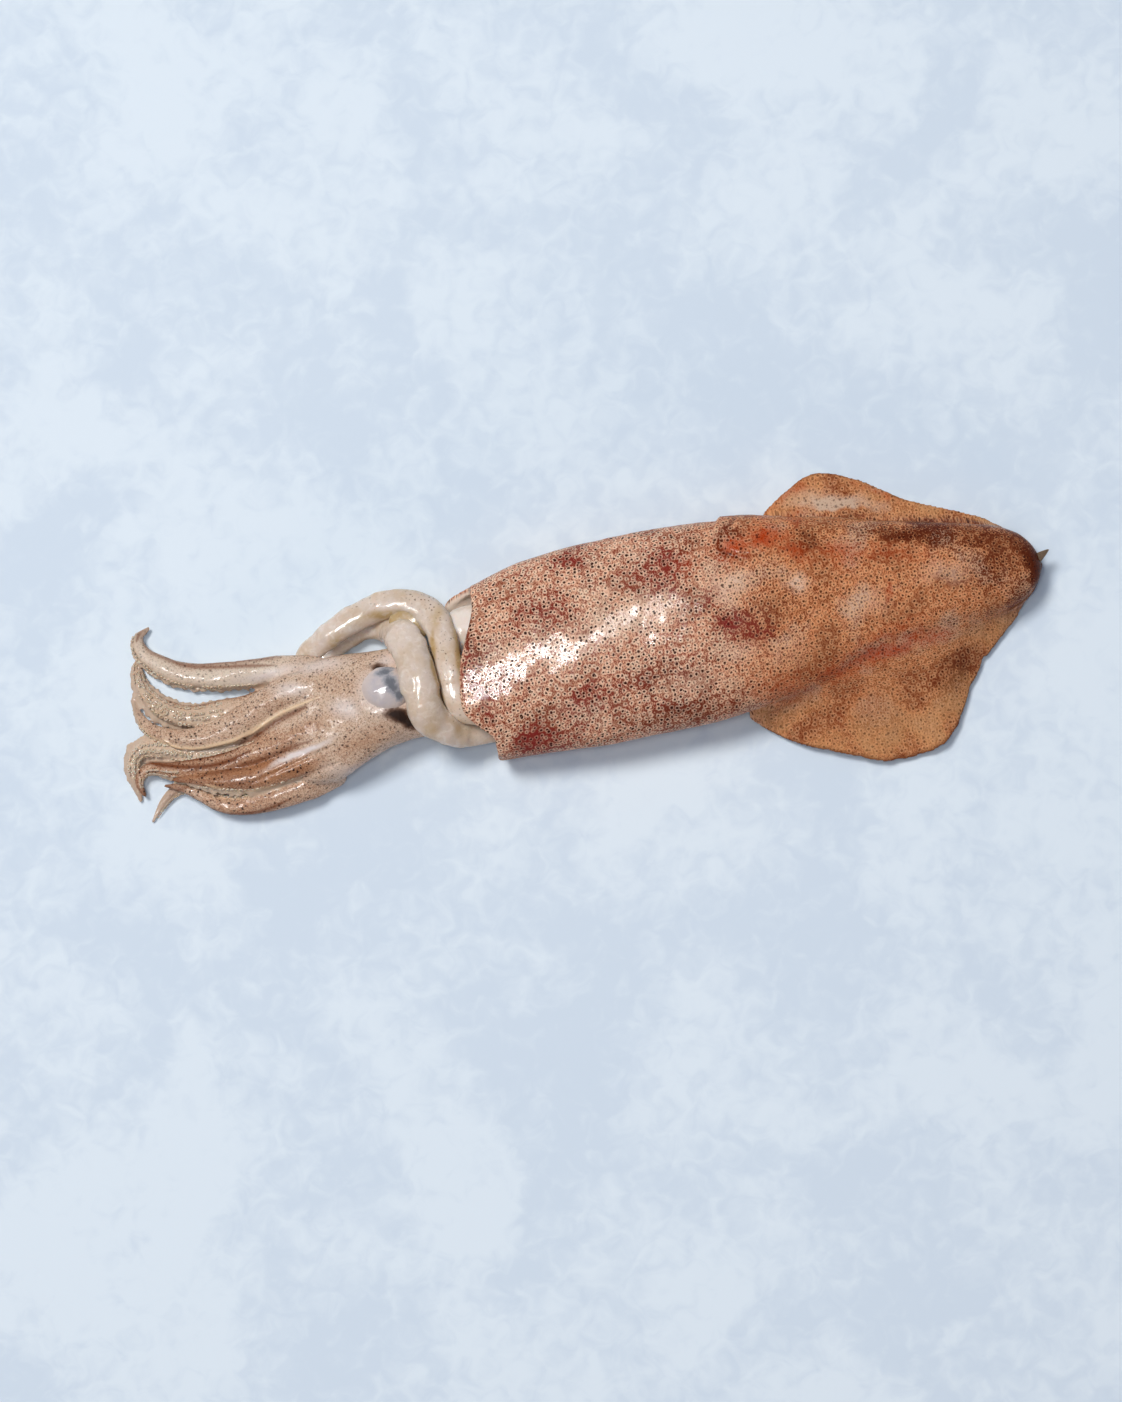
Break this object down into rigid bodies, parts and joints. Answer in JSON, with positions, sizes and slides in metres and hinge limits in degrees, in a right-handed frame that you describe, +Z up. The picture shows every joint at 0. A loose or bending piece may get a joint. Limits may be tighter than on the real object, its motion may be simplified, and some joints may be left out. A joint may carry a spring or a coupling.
{
  "type": "whole raw squid",
  "caption": "Whole raw squid lying flat, pale flesh under skin speckled red-brown, fins at the tail end, long tentacles folded back over the neck and tucked in at the collar.",
  "frame": {"origin": "middle of the footprint's bounding box, on the surface that the squid lies on", "axes": "+X along the body towards the tail, +Y towards the folded far fin, +Z up"},
  "size_m": [0.2976, 0.0938, 0.0285],
  "materials": {
    "skin": "gloss",
    "pale_flesh": "gloss",
    "eye": "polished",
    "pen": "satin"
  },
  "bodies": {
    "root": {"squid": "skin", "eye_upper": "eye", "eye_lower": "eye", "pen_tip": "pen"}
  },
  "joints": []
}
